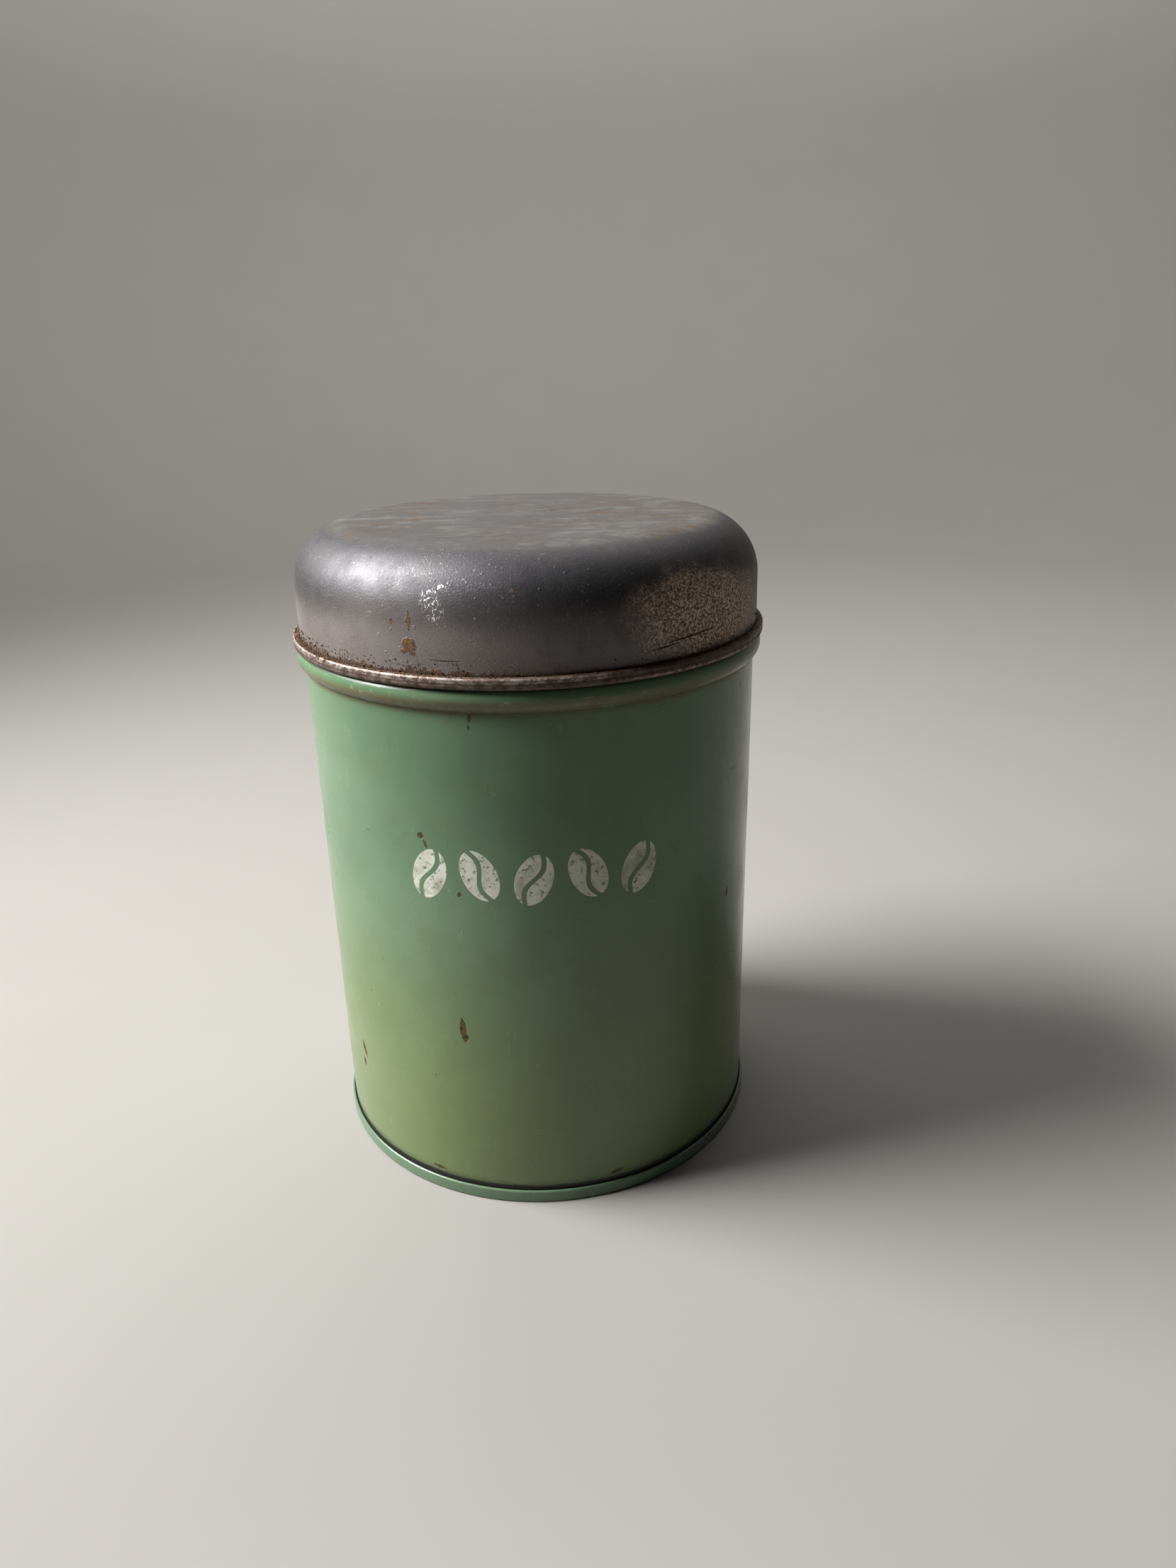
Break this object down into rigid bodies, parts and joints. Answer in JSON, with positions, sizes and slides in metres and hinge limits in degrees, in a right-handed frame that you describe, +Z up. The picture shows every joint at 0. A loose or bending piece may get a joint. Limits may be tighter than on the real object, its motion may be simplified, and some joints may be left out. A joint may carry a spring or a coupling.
{
  "type": "coffee tin",
  "caption": "Round lacquered tinplate kitchen canister with a beaded shoulder and a deep slip-on lid with a rounded shoulder and a wired rim.",
  "frame": {"origin": "middle of the base, on the surface that the tin stands on", "axes": "+Z up along the tin's axis, the front of the tin towards -Y, the side seam at the back on +Y"},
  "size_m": [0.1206, 0.1206, 0.1663],
  "materials": {
    "green_lacquer": "glossy lacquer, worn and speckled",
    "solder": "dull solder under lacquer",
    "base_lacquer": "glossy lacquer, rubbed at the foot",
    "seam_compound": "matt",
    "oxidised_tinplate": "satin, oxidised, rust at the rim",
    "rusted_wire": "rusted steel wire"
  },
  "bodies": {
    "tin": {"body_shell": "green_lacquer", "side_seam_solder": "solder", "base_end": "base_lacquer", "base_seam_compound": "seam_compound"},
    "rim_wire": {"lid_rim_wire": "rusted_wire"},
    "lid": {"lid_shell": "oxidised_tinplate"}
  },
  "joints": [
    {"name": "lid_lift", "type": "slide", "parent": "tin", "child": "rim_wire", "axis": [0, 0, 1], "range_m": [0, 0.08]},
    {"name": "lid_turn", "type": "hinge", "parent": "rim_wire", "child": "lid", "pos_m": [0, 0, 0.1383], "axis": [0, 0, 1], "continuous": true}
  ]
}
